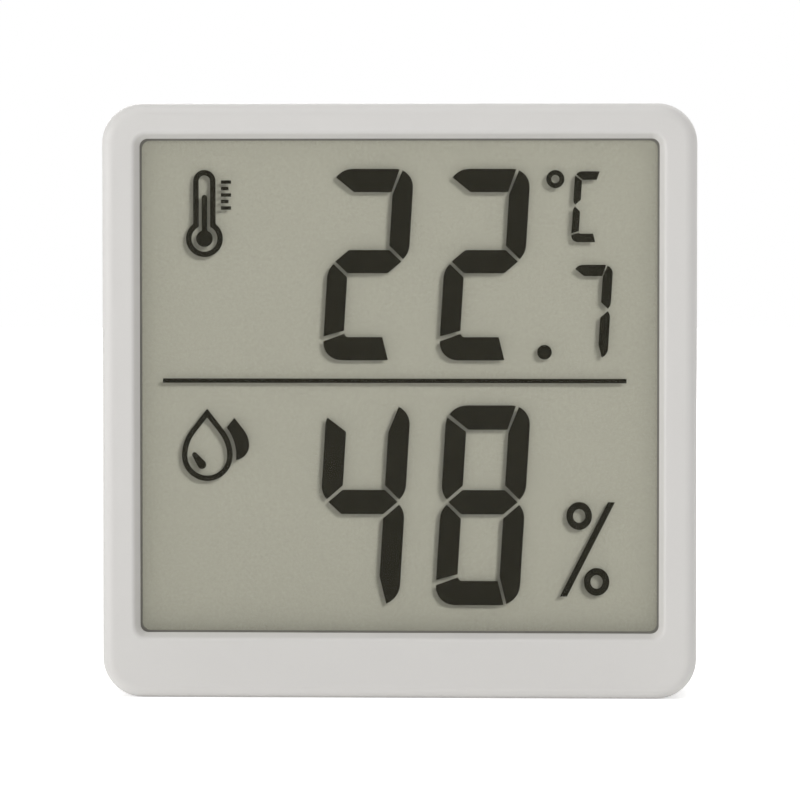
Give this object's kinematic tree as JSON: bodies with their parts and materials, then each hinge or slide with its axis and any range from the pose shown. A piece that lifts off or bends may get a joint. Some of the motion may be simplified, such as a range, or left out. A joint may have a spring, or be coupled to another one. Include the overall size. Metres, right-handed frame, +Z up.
{
  "type": "temperature humidity sensor",
  "caption": "Square wireless temperature and humidity sensor with a reflective segment display, coin cell, twist-lock battery door, pairing button, keyhole and fold-out stand.",
  "frame": {"origin": "on the surface that the case stands on, under the middle of the case's width and depth", "axes": "+X to the right seen from the front, +Z up, and the display faces -Y"},
  "size_m": [0.0596, 0.014, 0.0595],
  "materials": {
    "case_plastic": "fine spark texture",
    "gasket_foam": "matte",
    "polariser": "anti-glare",
    "display_glass": "polished",
    "segment": "matte",
    "edge_seal": "satin",
    "reflector": "pearl",
    "holder_plastic": "satin",
    "elastomer": "striped",
    "circuit_board": "solder mask",
    "tinned_metal": "tinned",
    "gold_plate": "plated",
    "chip_resin": "matte",
    "capacitor_ceramic": "satin",
    "switch_plastic": "satin",
    "cell_steel": "brushed nickel",
    "cell_core": "pressed powder",
    "cell_seal": "satin"
  },
  "bodies": {
    "case": {"front_bezel": "case_plastic", "window_gasket": "gasket_foam", "front_polariser": "polariser", "lcd_front_glass": "display_glass", "lcd_temperature_digits": "segment", "lcd_humidity_digits": "segment", "lcd_unit_marks": "segment", "lcd_icons": "segment", "lcd_edge_seal": "edge_seal", "lcd_rear_glass": "display_glass", "reflector_film": "reflector", "lcd_holder": "holder_plastic", "zebra_strip": "elastomer", "main_board": "circuit_board", "board_screws": "tinned_metal", "lcd_driver_chip": "chip_resin", "driver_chip_leads": "tinned_metal", "crystal": "tinned_metal", "radio_board": "circuit_board", "antenna_trace": "gold_plate", "radio_chip": "chip_resin", "radio_shield_can": "tinned_metal", "climate_sensor": "chip_resin", "chip_capacitors": "capacitor_ceramic", "chip_resistors": "chip_resin", "switch_body": "chip_resin", "cell_cradle": "holder_plastic", "negative_contact": "gold_plate", "positive_contact": "gold_plate", "coin_cell_cap": "cell_steel", "coin_cell_core": "cell_core", "coin_cell_gasket": "cell_seal", "coin_cell_can": "cell_steel", "rear_cover": "case_plastic"},
    "stand": {"stand_leg": "case_plastic"},
    "door": {"battery_door": "case_plastic"},
    "button": {"pairing_button": "case_plastic", "switch_stem": "switch_plastic"}
  },
  "joints": [
    {"name": "stand_hinge", "type": "hinge", "parent": "case", "child": "stand", "pos_m": [0, 0.00575, 0.045], "axis": [1, 0, 0], "range_deg": [0, 40]},
    {"name": "battery_door_twist", "type": "hinge", "parent": "case", "child": "door", "pos_m": [0, 0.006, 0.02712], "axis": [0, 1, 0], "range_deg": [0, 40]},
    {"name": "pairing_button_press", "type": "slide", "parent": "case", "child": "button", "axis": [0, -1, 0], "range_m": [0, 0.0003], "stiffness_N_per_m": 1500}
  ]
}
